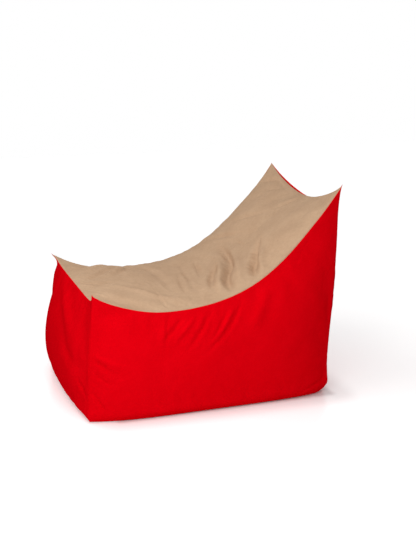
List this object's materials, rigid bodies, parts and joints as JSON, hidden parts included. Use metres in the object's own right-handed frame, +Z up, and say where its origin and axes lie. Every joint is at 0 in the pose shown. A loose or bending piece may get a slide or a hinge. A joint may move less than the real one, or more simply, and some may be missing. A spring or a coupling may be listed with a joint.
{
  "type": "bean bag chair",
  "caption": "Lounge bean bag chair with four pulled-up corners, contrast seat and back panel, red walls, zip across the lower back, inner liner and bead filling.",
  "frame": {"origin": "middle of the flat base, on the floor", "axes": "+Z up, -Y towards the front edge where the sitter's legs go, +X to the right as seen from the front"},
  "size_m": [0.7954, 1.0867, 0.8047],
  "materials": {
    "red_cloth": "matte",
    "beige_cloth": "matte",
    "red_thread": "satin",
    "beige_thread": "satin",
    "zip_tape": "matte",
    "zip_coil": "satin",
    "zip_metal": "satin",
    "liner_cloth": "matte",
    "closure_tape": "matte",
    "beads": "matte"
  },
  "bodies": {
    "cover": {"seat_panel": "beige_cloth", "left_side_panel": "red_cloth", "right_side_panel": "red_cloth", "front_panel": "red_cloth", "back_panel_upper": "red_cloth", "back_panel_lower": "red_cloth", "base_panel": "red_cloth", "seam_thread_left": "red_thread", "seam_thread_right": "red_thread", "seam_thread_seat_front": "beige_thread", "seam_thread_seat_back": "beige_thread", "seam_thread_base_front": "red_thread", "seam_thread_base_back": "red_thread", "zip_tape_upper": "zip_tape", "zip_tape_lower": "zip_tape", "zip_coil_upper": "zip_coil", "zip_coil_lower": "zip_coil", "zip_stitch_upper": "red_thread", "zip_stitch_lower": "red_thread", "zip_top_stops": "zip_metal", "zip_bottom_stop": "zip_metal", "liner_left_side": "liner_cloth", "liner_right_side": "liner_cloth", "liner_wrap": "liner_cloth", "liner_closure_hook": "closure_tape", "liner_closure_loop": "closure_tape", "bead_fill": "beads"},
    "slider": {"zip_slider": "zip_metal"},
    "pull_tab": {"zip_pull_tab": "zip_metal"}
  },
  "joints": [
    {"name": "zip_travel", "type": "hinge", "parent": "cover", "child": "slider", "pos_m": [0, -1.12056, 0.135], "axis": [0, 0, 1], "range_deg": [0, 17.99]},
    {"name": "pull_tab_swing", "type": "hinge", "parent": "slider", "child": "pull_tab", "pos_m": [0.25463, 0.48732, 0.135], "axis": [0.9877, -0.1564, 0], "range_deg": [0, 165]}
  ]
}
